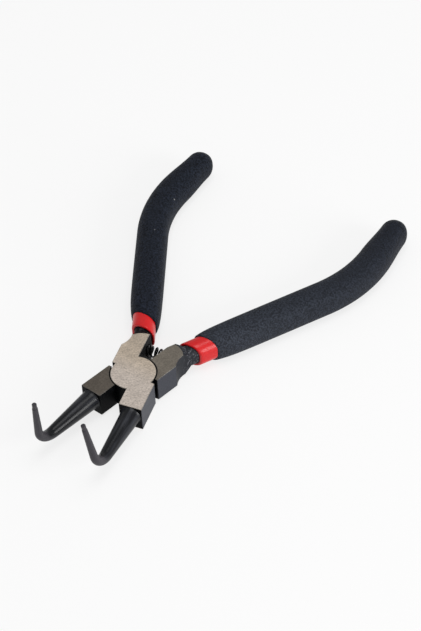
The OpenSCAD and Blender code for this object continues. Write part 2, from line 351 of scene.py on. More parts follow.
@dataclass(frozen=True)
class ForgedSteel(Finish):
    """Dark oxide on forged steel: a fine scale grain with worn, paler patches.

    Where worn_from is given, the wear begins at that distance behind the pivot and is full a fade's length
    further on.
    """

    tone: Display = (30, 31, 35)
    worn: Display = (60, 60, 62)
    wear: float = 0.3
    gloss: float = 0.4
    metal: float = 0.0
    shine: float = 0.06
    relief: float = 0.00004
    grain_waves: float = 1900.0
    patch_waves: float = 420.0
    worn_from: float | None = None
    fade: float = 0.004

    def draw(self, board: Board) -> Wire:
        """Draws a scale grain, and patches of wear where two noises are both high.

        Args:
            board: The material's nodes.

        Returns:
            The shader.
        """
        grain = board.noise(board.place(), self.grain_waves)
        patch = board.noise(board.place(), self.patch_waves)
        bare = (patch * 0.6 + grain * 0.4).step(0.5, 0.68) * self.wear
        if self.worn_from is not None:
            behind = board.part(board.place(), "Y")
            bare = bare * behind.step(self.worn_from, self.worn_from + self.fade)
        return board.surface(
            base_color=board.mix(bare, board.shades(grain, self.tone, 0.75, 1.25), linear(self.worn)),
            metallic=self.metal,
            roughness=self.gloss + 0.2 * bare + 0.1 * patch,
            specular=self.shine,
            normal=board.bump(grain * 0.5 + patch * 0.5, self.relief, 0.4),
        )


@dataclass(frozen=True)
class BrokenEdge(Finish):
    """Broken edge: bright round a ground face, partly worn ground steel and partly a painted edge highlight,
    and dark where it stands upright between two sides.
    """

    rim: GroundSteel
    upright: ForgedSteel
    lean: Span = (0.15, 0.3)

    def draw(self, board: Board) -> Wire:
        """Mixes the two steels by how far the face leans up or down.

        Args:
            board: The material's nodes.

        Returns:
            The shader.
        """
        rise = board.part(board.node("ShaderNodeNewGeometry", out="True Normal"), "Z")
        share = rise.most(0.0 - rise).step(*self.lean)
        steels = {1: self.upright.draw(board), 2: self.rim.draw(board)}
        return board.node("ShaderNodeMixShader", None, {0: share, **steels})


@dataclass(frozen=True)
class JawBlack(Finish):
    """Polished black on the tapered jaw that turns to a dull grey along the bent tip."""

    black: Display = (7, 9, 14)
    streak: Display = (42, 44, 51)
    dull: Display = (54, 52, 57)
    dull_span: Span = (0.49, 0.545)
    grain_waves: float = 1500.0
    relief: float = 0.00006

    def draw(self, board: Board) -> Wire:
        """Mixes the finishes by the share of the jaw's length behind each point, with draw marks along it
        whose lighter streaks are partly a painted highlight.

        Args:
            board: The material's nodes.

        Returns:
            The shader.
        """
        marks = board.noise(board.carried("lengthwise", "Vector"), 1.0)
        grain = board.noise(board.place(), self.grain_waves)
        fade = (board.carried("run") + 0.02 * grain).step(*self.dull_span)
        # lighter lengthwise streaks: partly draw marks, partly painted highlight
        smooth = board.mix(marks.step(0.42, 0.75), linear(self.black), linear(self.streak))
        return board.surface(
            base_color=board.mix(fade, smooth, board.shades(grain, self.dull, 0.82, 1.18)),
            metallic=0.0,
            roughness=0.18 + 0.26 * marks + 0.2 * fade,
            specular=0.28,
            normal=board.bump(0.6 * marks + 0.4 * grain, self.relief, 0.4),
        )


@dataclass(frozen=True)
class DippedVinyl(Finish):
    """Glossy dipped vinyl with a slow ripple and faint mottling."""

    tone: Display = (206, 18, 22)
    ripple_waves: float = 260.0
    mottle_waves: float = 1200.0
    relief: float = 0.00012

    def draw(self, board: Board) -> Wire:
        """Draws a slow ripple as relief and a faint mottling of the colour.

        Args:
            board: The material's nodes.

        Returns:
            The shader.
        """
        ripple = board.noise(board.place(), self.ripple_waves, 1.0)
        mottle = board.noise(board.place(), self.mottle_waves, 2.0)
        return board.surface(
            base_color=board.shades(mottle, self.tone, 0.92, 1.08),
            roughness=0.26 + 0.1 * mottle,
            specular=0.42,
            normal=board.bump(ripple, self.relief, 0.3),
        )


@dataclass(frozen=True)
class FoamDip(Finish):
    """Foamed outer dip: a fine open grain with a few pale specks of dust.

    The tone fades to the far one along the grip, as painted light that falls off away from the head, and the
    gains give dark and light grain from them.
    """

    tone: Display
    far: Display
    gains: Span
    shine: float
    dust: Display = (150, 150, 150)
    grain_waves: float = 1550.0
    cloud_waves: float = 420.0
    dust_cells: float = 110.0
    relief: float = 0.0006

    def draw(self, board: Board) -> Wire:
        """Draws the grain as two noises, and the specks as the middles of a few far cells.

        Args:
            board: The material's nodes.

        Returns:
            The shader.
        """
        run = board.carried("run")
        grain = board.noise(board.place(), self.grain_waves, 2.0)
        cloud = board.noise(board.place(), self.cloud_waves, 2.0)
        cell = board.node("ShaderNodeTexVoronoi", None, {"Vector": board.place(), "Scale": self.dust_cells})
        speck = cell.step(0.05, 0.03)
        light = (grain * 0.85 + cloud * 0.15).step(0.34, 0.68)
        # painted light: the tone fades to the far one along the grip
        low, high = (board.mix(run, linear(self.tone, k), linear(self.far, k)) for k in self.gains)
        return board.surface(
            base_color=board.mix(speck * 0.6, board.mix(light, low, high), linear(self.dust)),
            roughness=0.5 + 0.16 * grain,
            specular=self.shine,
            normal=board.bump(grain, self.relief, 0.8),
        )


@dataclass(frozen=True)
class SpringWire(Finish):
    """Oil-black music wire."""

    tone: Display = (12, 12, 14)
    film_waves: float = 1300.0

    def draw(self, board: Board) -> Wire:
        """Draws a faint oil film as noise in colour and gloss.

        Args:
            board: The material's nodes.

        Returns:
            The shader.
        """
        film = board.noise(board.place(), self.film_waves, 2.0)
        return board.surface(
            base_color=board.shades(film, self.tone, 0.7, 1.4),
            roughness=0.3 + 0.16 * film,
            specular=0.12,
        )


class Hand(Enum):
    """The two levers, by the side that the jaw is on."""

    UPPER = 1
    LOWER = -1


@dataclass(frozen=True)
class Pose:
    """How a lever's own frame, in millimetres with the handles closed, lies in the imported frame."""

    hand: Hand
    open_angle: float = OPEN_ANGLE
    half_head: float = HALF_HEAD

    @property
    def body(self) -> str:
        """Returns the lever's body."""
        return self.hand.name.lower()

    @property
    def turn(self) -> float:
        """Returns the angle about the pivot, in radians, that the lever is open by."""
        return math.radians(self.open_angle) * self.hand.value

    def to_frame(self, points: np.ndarray) -> np.ndarray:
        """Mirrors the lower lever, turns both by the open angle and lifts them by half the head.

        Args:
            points: Array of points, in millimetres, in the lever's frame.

        Returns:
            The points in metres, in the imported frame.
        """
        x, y, z = points[..., 0] * self.hand.value, points[..., 1], points[..., 2]
        across = x * math.cos(self.turn) - y * math.sin(self.turn)
        along = x * math.sin(self.turn) + y * math.cos(self.turn)
        return MM * np.stack([across, along, z + self.half_head], -1)

    def to_lever(self, points: np.ndarray) -> np.ndarray:
        """Undoes to_frame.

        Args:
            points: Array of points, in metres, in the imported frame.

        Returns:
            The points in millimetres, in the lever's frame.
        """
        x, y, z = points[..., 0] / MM, points[..., 1] / MM, points[..., 2] / MM
        across = (x * math.cos(self.turn) + y * math.sin(self.turn)) * self.hand.value
        along = y * math.cos(self.turn) - x * math.sin(self.turn)
        return np.stack([across, along, z - self.half_head], -1)

    def way_to_lever(self, ways: np.ndarray) -> np.ndarray:
        """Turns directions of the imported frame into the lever's frame."""
        return (self.to_lever(ways) - self.to_lever(np.zeros(3))) * MM


def placed(name: str, data: bpy.types.ID) -> bpy.types.Object:
    """Puts an object into the scene.

    Args:
        name: The object's name.
        data: Its mesh, lamp or camera.

    Returns:
        The object, at the origin.
    """
    made = bpy.data.objects.new(name, data)
    bpy.context.scene.collection.objects.link(made)
    return made


def pulled(items: bpy.types.bpy_prop_collection, name: str, width: int = 1, kind: type = float) -> np.ndarray:
    """Reads one property of a mesh's points, edges, corners or faces.

    Args:
        items: The mesh's collection.
        name: The property.
        width: Numbers for each item.
        kind: Type of the numbers.

    Returns:
        A row for each item, or a number for each where the width is 1.
    """
    values = np.empty(len(items) * width, kind)
    items.foreach_get(name, values)
    return values.reshape(-1, width) if width > 1 else values


def attach(mesh: bpy.types.Mesh, name: str, values: np.ndarray, domain: str = "POINT") -> None:
    """Lets a mesh carry an attribute.

    Args:
        mesh: The mesh.
        name: The attribute's name.
        values: A number or a vector for each item.
        domain: The items, points or edges.
    """
    kind, key = ("FLOAT", "value") if values.ndim == 1 else ("FLOAT_VECTOR", "vector")
    layer = mesh.attributes.new(name, kind, domain)
    layer.data.foreach_set(key, values.astype(np.float32).ravel())


@dataclass
class Skin:
    """A closed surface: points and the faces between them."""

    points: np.ndarray
    faces: list[list[int]]

    @classmethod
    def tube(cls, rings: np.ndarray) -> "Skin":
        """Skins a stack of rings.

        Point (i, k) joins (i + 1, k) and (i, k + 1), k wraps round, and a fan to the ring's middle closes
        each end.

        Args:
            rings: Array of rings, points in a ring, and 3.

        Returns:
            The closed tube, with its faces pointing outwards.
        """
        count, sides = rings.shape[:2]
        index = np.arange(count * sides).reshape(count, sides)
        first, last = (np.full(sides, count * sides + end) for end in (0, 1))
        front = np.stack([first, index[0], np.roll(index[0], -1)], 1)
        rear = np.stack([last, np.roll(index[-1], -1), index[-1]], 1)
        points = np.concatenate([rings.reshape(-1, 3), rings[0].mean(0)[None], rings[-1].mean(0)[None]])
        return cls(points, []).with_faces(cls._quads(index[:-1], index[1:]), np.concatenate([front, rear]))

    @classmethod
    def hoop(cls, rings: np.ndarray) -> "Skin":
        """Skins rings whose last one joins the first again.

        Args:
            rings: Array of rings, points in a ring, and 3.

        Returns:
            The closed hoop, with its faces pointing outwards.
        """
        count, sides = rings.shape[:2]
        index = np.arange(count * sides).reshape(count, sides)
        return cls(rings.reshape(-1, 3), []).with_faces(cls._quads(index, np.roll(index, -1, 0)))

    @staticmethod
    def spread(values: np.ndarray, sides: int) -> np.ndarray:
        """Returns a value for each point of a tube from a value for each ring."""
        return np.concatenate([np.repeat(values, sides), values[[0, -1]]])

    @staticmethod
    def _quads(near: np.ndarray, far: np.ndarray) -> np.ndarray:
        """Returns the four-sided faces between two grids of point numbers, wrapping along the ring."""
        return np.stack([near, far, np.roll(far, -1, 1), np.roll(near, -1, 1)], -1).reshape(-1, 4)

    def with_faces(self, *groups: np.ndarray) -> "Skin":
        """Takes the faces, and turns them over if the enclosed volume comes out negative.

        Args:
            *groups: Arrays of faces with one count of corners each, all wound the same way.

        Returns:
            The surface itself.
        """
        fans = [g[:, [0, i, i + 1]] for g in groups for i in range(1, g.shape[1] - 1)]
        corners = self.points[np.concatenate(fans)]
        volume = np.einsum("ij,ij->i", corners[:, 0], np.cross(corners[:, 1], corners[:, 2])).sum()
        flip = -1 if volume < 0 else 1
        self.faces = [row for g in groups for row in g[:, ::flip].tolist()]
        return self

    def piece(self, name: str, sharp: float = 40.0) -> bpy.types.Object:
        """Makes the surface an object.

        Args:
            name: The piece's name.
            sharp: Degrees above which an edge between faces shows.

        Returns:
            The object, with smooth faces.
        """
        mesh = bpy.data.meshes.new(name)
        mesh.from_pydata(self.points.tolist(), [], self.faces)
        mesh.shade_smooth()
        mesh.set_sharp_from_angle(angle=math.radians(sharp))
        return placed(name, mesh)


def dress(piece: bpy.types.Object, slot: str, *finishes: Finish) -> None:
    """Gives a piece its finishes.

    Args:
        piece: The piece.
        slot: Its material slot in the record; not used.
        *finishes: A finish for each of its own slots.
    """
    for finish in finishes:
        piece.data.materials.append(finish.material())


def settle(piece: bpy.types.Object, body: str, node: str) -> None:
    """Lets a piece ride on a body and stand for a node.

    Args:
        piece: The piece.
        body: The body's name.
        node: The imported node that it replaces.
    """
    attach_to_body(piece, body)
    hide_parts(node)
    LOG.info("%s: %d faces, rides on %s", piece.name, len(piece.data.polygons), body)


class Region(Enum):
    """Material slots of a lever's head."""

    FLAT = 0
    SIDE = 1
    DARK = 2
    EDGE = 3
    NECK = 4


@dataclass
class LeverHead:
    """Lap-joint head, neck and bar of one lever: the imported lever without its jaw, with broken edges.

    Sizes are in millimetres and angles in degrees. Faces are told apart by the parts of their normals:
    level_from is upright, outer_from points away from the middle plane and inner_to towards it.
    """

    pose: Pose
    flat: Finish
    edge: Finish
    neck: Finish
    # painted light and shade: outer sides get a lit grey copy of the forged finish, other faces a near-black
    # copy, partly the oxide's black, partly painted shade
    side: Finish = ForgedSteel("gunmetal_side", (64, 66, 74), (92, 92, 96), gloss=0.42, metal=0.5, shine=0.2)
    dark: Finish = ForgedSteel("black_forging", (7, 8, 10), (32, 33, 36), shine=0.045)
    jaw_root: Span = JAW_ROOT
    toe: float = JAW_TOE
    half_width: float = 9.3
    block_rear: float = 12.7
    bore_r: float = 4.6
    edge_break: float = 0.18
    weld: float = 0.001
    hair: float = 0.01
    side_hair: float = 0.05
    level_from: float = 0.999
    outer_from: float = 0.9
    inner_to: float = -0.5
    in_plane: float = 0.6
    shown_edge: float = 26.0
    broken_edge: float = 32.0

    def build(self, frame: dict[str, Any]) -> bpy.types.Object:
        """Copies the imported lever, takes the jaw off, merges its flat faces and marks faces and edges.


        Returns:
            The head as an object with a Bevel on its marked edges.
        """
        body = self.pose.body
        node = f"{body}_lever"
        points, corners = self._merged(frame["nodes"][node].data)
        local = self.pose.to_lever(points)
        slope = math.tan(math.radians(self.toe))
        ahead = self.jaw_root[1] - local[:, 1] - (local[:, 0] - self.jaw_root[0]) * slope
        kept = corners[(ahead[corners] < self.hair).all(1)]
        mesh = bpy.data.meshes.new(f"{body}_head")
        mesh.from_pydata(points.tolist(), [], kept.tolist())
        self._close(mesh)
        self._mark_faces(mesh)
        self._mark_edges(mesh)
        mesh.shade_smooth()
        mesh.set_sharp_from_angle(angle=math.radians(self.shown_edge))
        piece = placed(mesh.name, mesh)
        dress(piece, f"{body}_steel", self.flat, self.side, self.dark, self.edge, self.neck)
        self._break_edges(piece)
        settle(piece, body, node)
        return piece

    def _break_edges(self, piece: bpy.types.Object) -> None:
        """Rounds the marked edges and closes the corners where they meet.

        Args:
            piece: The head.
        """
        bevel = piece.modifiers.new("broken edges", "BEVEL")
        bevel.limit_method = "WEIGHT"
        bevel.width = self.edge_break * MM
        bevel.segments = 2
        bevel.material = Region.EDGE.value
        bevel.harden_normals = True
        bevel.use_clamp_overlap = False
        weld = piece.modifiers.new("closed corners", "WELD")
        weld.merge_threshold = self.weld * MM

    @staticmethod
    def _merged(mesh: bpy.types.Mesh) -> tuple[np.ndarray, np.ndarray]:
        """Merges a mesh's doubled points on a grid of a tenth of a micrometre.

        Args:
            mesh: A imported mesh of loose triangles.

        Returns:
            The points, and the triangles that keep three corners.
        """
        points = np.round(pulled(mesh.vertices, "co", 3), 7)
        corners = pulled(mesh.loops, "vertex_index", 1, np.int32)
        unique, number = np.unique(points, axis=0, return_inverse=True)
        triangles = number.reshape(-1)[corners].reshape(-1, 3)
        whole = (triangles != np.roll(triangles, 1, 1)).all(1)
        return unique, triangles[whole]

    def _close(self, mesh: bpy.types.Mesh) -> None:
        """Fills the hole that the jaw leaves, and joins slivers and triangles that lie in one plane.

        Args:
            mesh: The head's mesh.
        """
        work = bmesh.new()
        work.from_mesh(mesh)
        bmesh.ops.delete(work, geom=[v for v in work.verts if not v.link_faces], context="VERTS")
        bmesh.ops.holes_fill(work, edges=[e for e in work.edges if e.is_boundary])
        slivers = [f for f in work.faces if f.calc_area() < SLIVER]
        longest = dict.fromkeys(max(f.edges, key=bmesh.types.BMEdge.calc_length) for f in slivers)
        bmesh.ops.dissolve_edges(work, edges=list(longest), use_verts=False)
        flat = math.radians(self.in_plane)
        bmesh.ops.dissolve_limit(work, angle_limit=flat, verts=work.verts, edges=work.edges)
        work.to_mesh(mesh)
        work.free()

    def _mark_faces(self, mesh: bpy.types.Mesh) -> None:
        """Sorts faces by direction and place.

        Level ones at the head's top and bottom are ground, outer upright ones are sides in a lit grey copy of
        the forging's finish, those behind the block are the neck, and the rest, inner, front and under faces,
        take the near-black copy, partly the oxide's own black and partly painted shade.

        Args:
            mesh: The head's mesh.
        """
        normal = pulled(mesh.polygons, "normal", 3)
        local = self.pose.to_lever(pulled(mesh.polygons, "center", 3))
        away = self.pose.way_to_lever(normal)[:, 0] * np.sign(local[:, 0])
        level = np.abs(normal[:, 2]) > self.level_from
        level &= np.abs(local[:, 2]) > self.pose.half_head - self.hair
        outer = (away > self.outer_from) & (np.abs(local[:, 0]) > self.half_width - self.side_hair)
        outer &= local[:, 1] < self.block_rear
        rear = (local[:, 1] > self.block_rear) & (away >= self.inner_to)
        regions = [r.value for r in (Region.FLAT, Region.SIDE, Region.NECK)]
        chosen = np.select([level, outer, rear], regions, Region.DARK.value)
        mesh.polygons.foreach_set("material_index", chosen.astype(np.int32))

    def _mark_edges(self, mesh: bpy.types.Mesh) -> None:
        """Weights the convex edges of ground and side faces for the Bevel.

        An edge is convex where the cross product of its two faces' normals runs with the edge, as its first
        face draws it.

        Args:
            mesh: The head's mesh, with its faces marked.
        """
        normal = pulled(mesh.polygons, "normal", 3)
        region = pulled(mesh.polygons, "material_index", 1, np.int32)
        counts = pulled(mesh.polygons, "loop_total", 1, np.int32)
        edge = pulled(mesh.loops, "edge_index", 1, np.int32)
        corner = pulled(mesh.loops, "vertex_index", 1, np.int32)
        ends = pulled(mesh.edges, "vertices", 2, np.int32)
        points = pulled(mesh.vertices, "co", 3)
        order = np.argsort(edge, kind="stable")
        face = np.repeat(np.arange(len(counts)), counts)[order]
        first = np.searchsorted(edge[order], np.arange(len(ends)))
        paired = np.bincount(edge, minlength=len(ends)) == 2
        one, two = face[first], face[np.minimum(first + 1, len(face) - 1)]
        forward = np.where(corner[order][first] == ends[:, 0], 1, -1)
        run = (points[ends[:, 1]] - points[ends[:, 0]]) * forward[:, None]
        bend = np.einsum("ij,ij->i", np.cross(normal[one], normal[two]), run)
        sharp = np.einsum("ij,ij->i", normal[one], normal[two]) < math.cos(math.radians(self.broken_edge))
        shown = np.minimum(region[one], region[two]) < Region.DARK.value
        clear = (np.linalg.norm(points[ends][:, :, :2], axis=2) > self.bore_r * MM).all(1)
        attach(mesh, "bevel_weight_edge", paired & sharp & shown & clear & (bend > 0), "EDGE")


@dataclass
class BentJaw:
    """Tapered jaw of one lever with its elbow, bent tip and pin: a round section carried along a bent line.

    The step down to the pin runs from the first of the shoulder's sizes before it to the second behind it.
    The ring counts are for the root, the taper, the elbow and the tip.
    """

    pose: Pose
    finish: Finish = JawBlack("jaw_black")
    root: Span = JAW_ROOT
    rise: float = 0.6
    toe: float = JAW_TOE
    length: float = 26.9
    bend_r: float = 7.4
    bend_angle: float = 84.0
    lean: float = 6.2
    tip_len: float = 23.1
    base_r: float = 3.75
    elbow_r: float = 2.3
    tip_root_r: float = 1.45
    tip_r: float = 1.0
    pin_r: float = 0.85
    pin_len: float = 2.4
    pin_break: float = 0.14
    shoulder: Span = (0.08, 0.06)
    root_fillet: float = 0.3
    fillet_fade: float = 0.45
    root_len: float = 2.4
    sunk: float = 0.8
    waves: float = 2.6
    wave_step: float = 0.07
    lag: float = 0.035
    sides: int = 48
    ring_counts: tuple[int, int, int, int] = (14, 20, 28, 14)

    @property
    def bend(self) -> float:
        """Returns the bend's angle in radians."""
        return math.radians(self.bend_angle)

    @property
    def corner(self) -> float:
        """Returns how far the bend begins before the corner of the jaw's and the tip's lines."""
        return self.bend_r * math.tan(self.bend / 2)

    def build(self) -> bpy.types.Object:
        """Builds the jaw.

        Its run attribute is 0 at the block and 1 at the pin's end, and lags inside the bend.

        Returns:
            The jaw.
        """
        body = self.pose.body
        stations, radii = self._profile()
        piece = Skin.tube(self.pose.to_frame(self._rings(stations, radii))).piece(f"{body}_jaw")
        along = Skin.spread(stations, self.sides)
        turn = self._turn(len(along))
        attach(piece.data, "run", along / stations[-1] - self.lag * np.cos(turn))
        attach(piece.data, "lengthwise", self._marks(along, turn))
        dress(piece, f"{body}_steel", self.finish)
        settle(piece, body, f"{body}_lever")
        return piece

    def _turn(self, count: int) -> np.ndarray:
        """Returns each point's angle round the jaw from the bend's inside, a quarter turn at end points."""
        return np.append(np.resize(circle(self.sides), count - 2), [math.pi / 2, math.pi / 2])

    def _marks(self, along: np.ndarray, turn: np.ndarray) -> np.ndarray:
        """Returns places for a lengthwise noise: a circle of waves round the jaw, and few waves along it."""
        return np.stack([self.waves * np.cos(turn), self.waves * np.sin(turn), self.wave_step * along], -1)

    def _profile(self) -> tuple[np.ndarray, np.ndarray]:
        """Works out the jaw's radius.

        It is straight between the block, the elbow's two ends, the tip's shoulder and the pin, with a small
        hollow fillet that decays from the block.

        Returns:
            Distances along the jaw, and the radius at each.
        """
        elbow = self.length - self.corner
        tip = elbow + self.bend_r * self.bend
        step = tip + self.tip_len - self.corner - self.pin_len
        end = step + self.pin_len
        before, behind = step - self.shoulder[0], step + self.shoulder[1]
        root_r = self.base_r + self.sunk * ((self.base_r - self.elbow_r) / elbow)
        knots = [-self.sunk, elbow, tip, before, behind, end - self.pin_break, end]
        pin = [self.pin_r, self.pin_r, self.pin_r - self.pin_break]
        radii = [root_r, self.elbow_r, self.tip_root_r, self.tip_r, *pin]
        marks = [-self.sunk, self.root_len, elbow, tip, before]
        parts = [np.linspace(*part) for part in zip(marks, marks[1:], self.ring_counts)]
        stations = np.unique(np.concatenate([*parts, knots]))
        fillet = self.root_fillet * np.exp(-np.maximum(stations, 0) / self.fillet_fade)
        return stations, np.interp(stations, knots, radii) + fillet

    def _rings(self, stations: np.ndarray, radii: np.ndarray) -> np.ndarray:
        """Carries the circle along a straight line, an arc and a straight line.

        With a the jaw's direction, b the bend's and c their cross product, the line is a s, then the arc
        a (e + R sin t) + b R (1 - cos t), then straight on, and a ring is
        r (cos k (b cos t - a sin t) + sin k c).

        Args:
            stations: Distance along the jaw, one for each ring.
            radii: Radius of each ring.

        Returns:
            Rings of points in the lever's frame, in millimetres.
        """
        toe, lean = math.radians(self.toe), math.radians(self.lean)
        a = np.array([-math.sin(toe), -math.cos(toe), 0.0])
        b = np.array([-math.sin(lean) * math.cos(toe), math.sin(lean) * math.sin(toe), math.cos(lean)])
        c = np.cross(a, b)
        elbow = self.length - self.corner
        turn = np.clip((stations - elbow) / self.bend_r, 0, self.bend)[:, None]
        over = np.maximum(stations - elbow - self.bend_r * self.bend, 0)[:, None]
        level = np.minimum(stations, elbow)[:, None]
        line = np.array([*self.root, self.rise])
        line = line + a * (level + self.bend_r * np.sin(turn) + over * np.cos(turn))
        line = line + b * (self.bend_r * (1 - np.cos(turn)) + over * np.sin(turn))
        angle = circle(self.sides)[None, :, None]
        inward = (b * np.cos(turn) - a * np.sin(turn))[:, None, :]
        return line[:, None, :] + radii[:, None, None] * (np.cos(angle) * inward + np.sin(angle) * c)


@dataclass
class HandleLine:
    """Middle line of a handle: straight from its root, then a bow inwards, then straight."""

    root: Span = (-4.05, 20.0)
    splay: float = 16.3
    open_angle: float = OPEN_ANGLE
    straight: float = 61.3
    bow_r: float = 55.0
    bow_angle: float = 31.0
    tail: float = 16.4

    @property
    def bow_len(self) -> float:
        """Returns the bow's length along the middle line."""
        return self.bow_r * math.radians(self.bow_angle)

    @property
    def length(self) -> float:
        """Returns the handle bar's length."""
        return self.straight + self.bow_len + self.tail

    @property
    def dip_slope(self) -> float:
        """Returns how far a dip line, level with open handles, runs along the bar for each step across it."""
        return math.tan(math.radians(self.splay + self.open_angle))

    def dip_at(self, level: float) -> float:
        """Finds where a dip line crosses the middle line.

        Args:
            level: The dip line's distance from the pivot, with the handles open.

        Returns:
            The distance along the middle line.
        """
        turn = math.radians(self.open_angle)
        start = self.root[1] * math.cos(turn) + self.root[0] * math.sin(turn)
        return (level - start) / math.cos(math.radians(self.splay + self.open_angle))

    def carry(self, stations: np.ndarray, across: np.ndarray, up: np.ndarray, lean: np.ndarray) -> np.ndarray:
        """Carries sections along the line.

        A point of the section at distance s is c(s) + x (cos t, -sin t - lean) with t the bow's turn there,
        and the whole is turned by the splay and moved to the root.

        Args:
            stations: Distance along the line, one for each ring.
            across: Offsets across the line, rings by points, positive inwards.
            up: Offsets upwards, rings by points.
            lean: Slope of each ring against the line.

        Returns:
            Rings of points in the lever's frame, in millimetres.
        """
        turn = np.clip((stations - self.straight) / self.bow_len, 0, 1) * math.radians(self.bow_angle)
        first = np.minimum(stations, self.straight)
        last = np.maximum(stations - self.straight - self.bow_len, 0)
        cx = self.bow_r * (1 - np.cos(turn)) + last * np.sin(turn)
        cy = first + self.bow_r * np.sin(turn) + last * np.cos(turn)
        x = cx[:, None] + across * np.cos(turn)[:, None]
        y = cy[:, None] - across * (np.sin(turn) + lean)[:, None]
        splay = math.radians(self.splay)
        sideways = self.root[0] + x * math.cos(splay) - y * math.sin(splay)
        backwards = self.root[1] + x * math.sin(splay) + y * math.cos(splay)
        return np.stack([sideways, backwards, up], -1)


@dataclass
class DippedHandle:
    """Red inner sleeve and black foamed outer grip of one handle.

    Sizes of sections are widths and heights. The levels are the dip lines' distances from the pivot. The
    grip's mouth goes in by a depth to a share of the lip's section.
    """

    pose: Pose
    foam: Finish
    line: HandleLine = field(default_factory=HandleLine)
    red: Finish = DippedVinyl("red_dip")
    sleeve_size: Span = (8.8, 10.0)
    sleeve_edge: float = 4.0
    sleeve_wall: float = 1.1
    sleeve_level: float = 22.0
    sleeve_len: float = 12.0
    sleeve_rim: float = 2.0
    sleeve_seat: float = 4.0
    rim_steps: int = 11
    grip_level: float = 27.9
    grip_size: Span = (12.3, 12.0)
    grip_end_w: float = 10.7
    lip: float = 0.5
    lip_round: float = 0.7
    mouth: Span = (0.7, 0.7)
    swell: float = 4.5
    power: float = 2.5
    end_power: float = 2.2
    round_end: float = 6.2
    round_to: float = 88.5
    over: float = 6.5
    shown_edge: float = 60.0
    sides: int = 80
    ring_counts: tuple[int, int, int] = (8, 110, 22)

    @property
    def side(self) -> str:
        """Returns the side that the handle is on."""
        return "left" if self.pose.hand is Hand.UPPER else "right"

    @property
    def grip_end(self) -> float:
        """Returns the distance along the handle where the grip ends."""
        return self.line.length + self.over

    def build(self) -> list[bpy.types.Object]:
        """Builds the sleeve and the grip."""
        return [self._sleeve(), self._grip()]

    def _sleeve(self) -> bpy.types.Object:
        """Builds the sleeve: a rounded rectangle, inset by a wall with a half-round rim, along the handle.

        Returns:
            The sleeve.
        """
        half = self.sleeve_wall / 2
        bead = np.linspace(-math.pi / 2, math.pi / 2, self.rim_steps)
        inset = np.append(half - half * np.sin(bead), [0.0, 0.0, self.sleeve_wall, self.sleeve_wall])
        walls = [self.sleeve_rim, self.sleeve_len, self.sleeve_len, self.sleeve_seat]
        stations = self.line.dip_at(self.sleeve_level) + np.append(half - half * np.cos(bead), walls)
        corner = circle(self.sides) + math.pi / self.sides
        edge = self.sleeve_edge - inset[:, None]
        wide, high = (size / 2 - self.sleeve_edge for size in self.sleeve_size)
        across = np.sign(np.cos(corner)) * wide + edge * np.cos(corner)
        up = np.sign(np.sin(corner)) * high + edge * np.sin(corner)
        rings = self.line.carry(stations, across, up, np.full(len(stations), self.line.dip_slope))
        piece = Skin.hoop(self.pose.to_frame(rings)).piece(f"{self.side}_red_sleeve")
        dress(piece, "inner_dip", self.red)
        settle(piece, self.pose.body, f"{self.side}_inner_sleeve")
        return piece

    def _stations(self) -> np.ndarray:
        """Places the grip's rings, crowded at the lip and at the rounded end.

        Returns:
            Their distances along the handle.
        """
        start, end = self.line.dip_at(self.grip_level), self.grip_end
        lips, bodies, caps = self.ring_counts
        lip = start + self.lip_round * (1 - np.cos(np.linspace(0, math.pi / 2, lips)))
        body = np.linspace(start + self.lip_round, end - self.round_end, bodies)
        cap = end - self.round_end * (1 - np.sin(np.linspace(0, math.radians(self.round_to), caps)))
        return np.unique(np.concatenate([lip, body, cap]))

    def _halves(self, stations: np.ndarray, tail: np.ndarray) -> list[np.ndarray]:
        """Works out the grip's half width and half height.

        They swell from the lip as 1 - exp(-s / swell), start from the sleeve on a quarter circle and end on a
        quarter ellipse, and the width slims along the tail.

        Args:
            stations: Distances along the handle.
            tail: Share of the slimming at each.

        Returns:
            The half width and the half height at each station.
        """
        start = stations[0]
        to_end = np.clip((stations - self.grip_end + self.round_end) / self.round_end, 0, 1)
        to_lip = np.clip(1 - (stations - start) / self.lip_round, 0, 1)
        cap, lip = (np.sqrt(np.clip(1 - share**2, 0, 1)) for share in (to_end, to_lip))
        fill = 1 - np.exp(-(stations - start) / self.swell)
        slim = (self.grip_size[0] - self.grip_end_w) * tail
        halves = []
        for sleeve, full, less in zip(self.sleeve_size, self.grip_size, (slim, 0.0)):
            front = sleeve + 2 * self.lip
            outer = front + (full - front) * fill - less
            halves.append(cap * (sleeve + (outer - sleeve) * lip) / 2)
        return halves

    def _grip(self) -> bpy.types.Object:
        """Builds the grip as superellipses |x/w|^p + |z/h|^p = 1 along the handle, with a mouth at its lip.

        Returns:
            The grip, with a run attribute that is 0 at its lip and 1 at its end.
        """
        stations = self._stations()
        start = stations[0]
        tail = ease(np.clip((stations - self.line.straight - self.line.bow_len) / self.line.tail, 0, 1))
        depth, share = self.mouth
        halves = [np.append(share * h[:1], h)[:, None] for h in self._halves(stations, tail)]
        stations = np.append(start + depth, stations)
        shape = 2 / (self.power + (self.end_power - self.power) * np.append(tail[:1], tail))[:, None]
        angle = circle(self.sides)
        way = (np.cos(angle), np.sin(angle))
        across, up = (h * np.sign(part) * np.abs(part) ** shape for h, part in zip(halves, way))
        level = np.clip((stations - start) / (self.line.straight - start), 0, 1)
        rings = self.line.carry(stations, across, up, (1 - ease(level)) * self.line.dip_slope)
        piece = Skin.tube(self.pose.to_frame(rings)).piece(f"{self.side}_foam_grip", self.shown_edge)
        attach(piece.data, "run", Skin.spread((stations - start) / (self.grip_end - start), self.sides))
        dress(piece, "outer_dip", self.foam)
        settle(piece, self.pose.body, f"{self.side}_outer_grip")
        return piece


